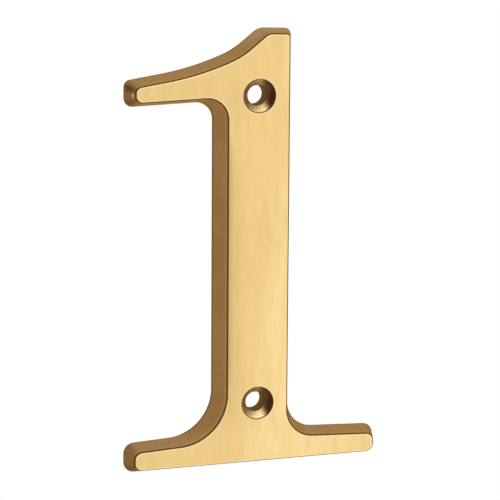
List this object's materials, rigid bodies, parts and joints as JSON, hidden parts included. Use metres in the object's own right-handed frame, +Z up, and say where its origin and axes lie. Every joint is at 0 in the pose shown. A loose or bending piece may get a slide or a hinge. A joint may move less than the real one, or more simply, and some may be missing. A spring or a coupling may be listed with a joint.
{
  "type": "house number",
  "caption": "Cast brass house numeral one, with bevelled sides, a flag and a broad foot, and countersunk screw holes on its stem.",
  "frame": {"origin": "midway between the two screw holes, on the flat back that lies against the wall or door", "axes": "+Z up the numeral as it hangs, +Y into the wall, +X to the right as the numeral is read"},
  "size_m": [0.046, 0.004, 0.076],
  "materials": {
    "numeral_one": "satin"
  },
  "bodies": {
    "root": {"numeral_one": "numeral_one"}
  },
  "joints": []
}
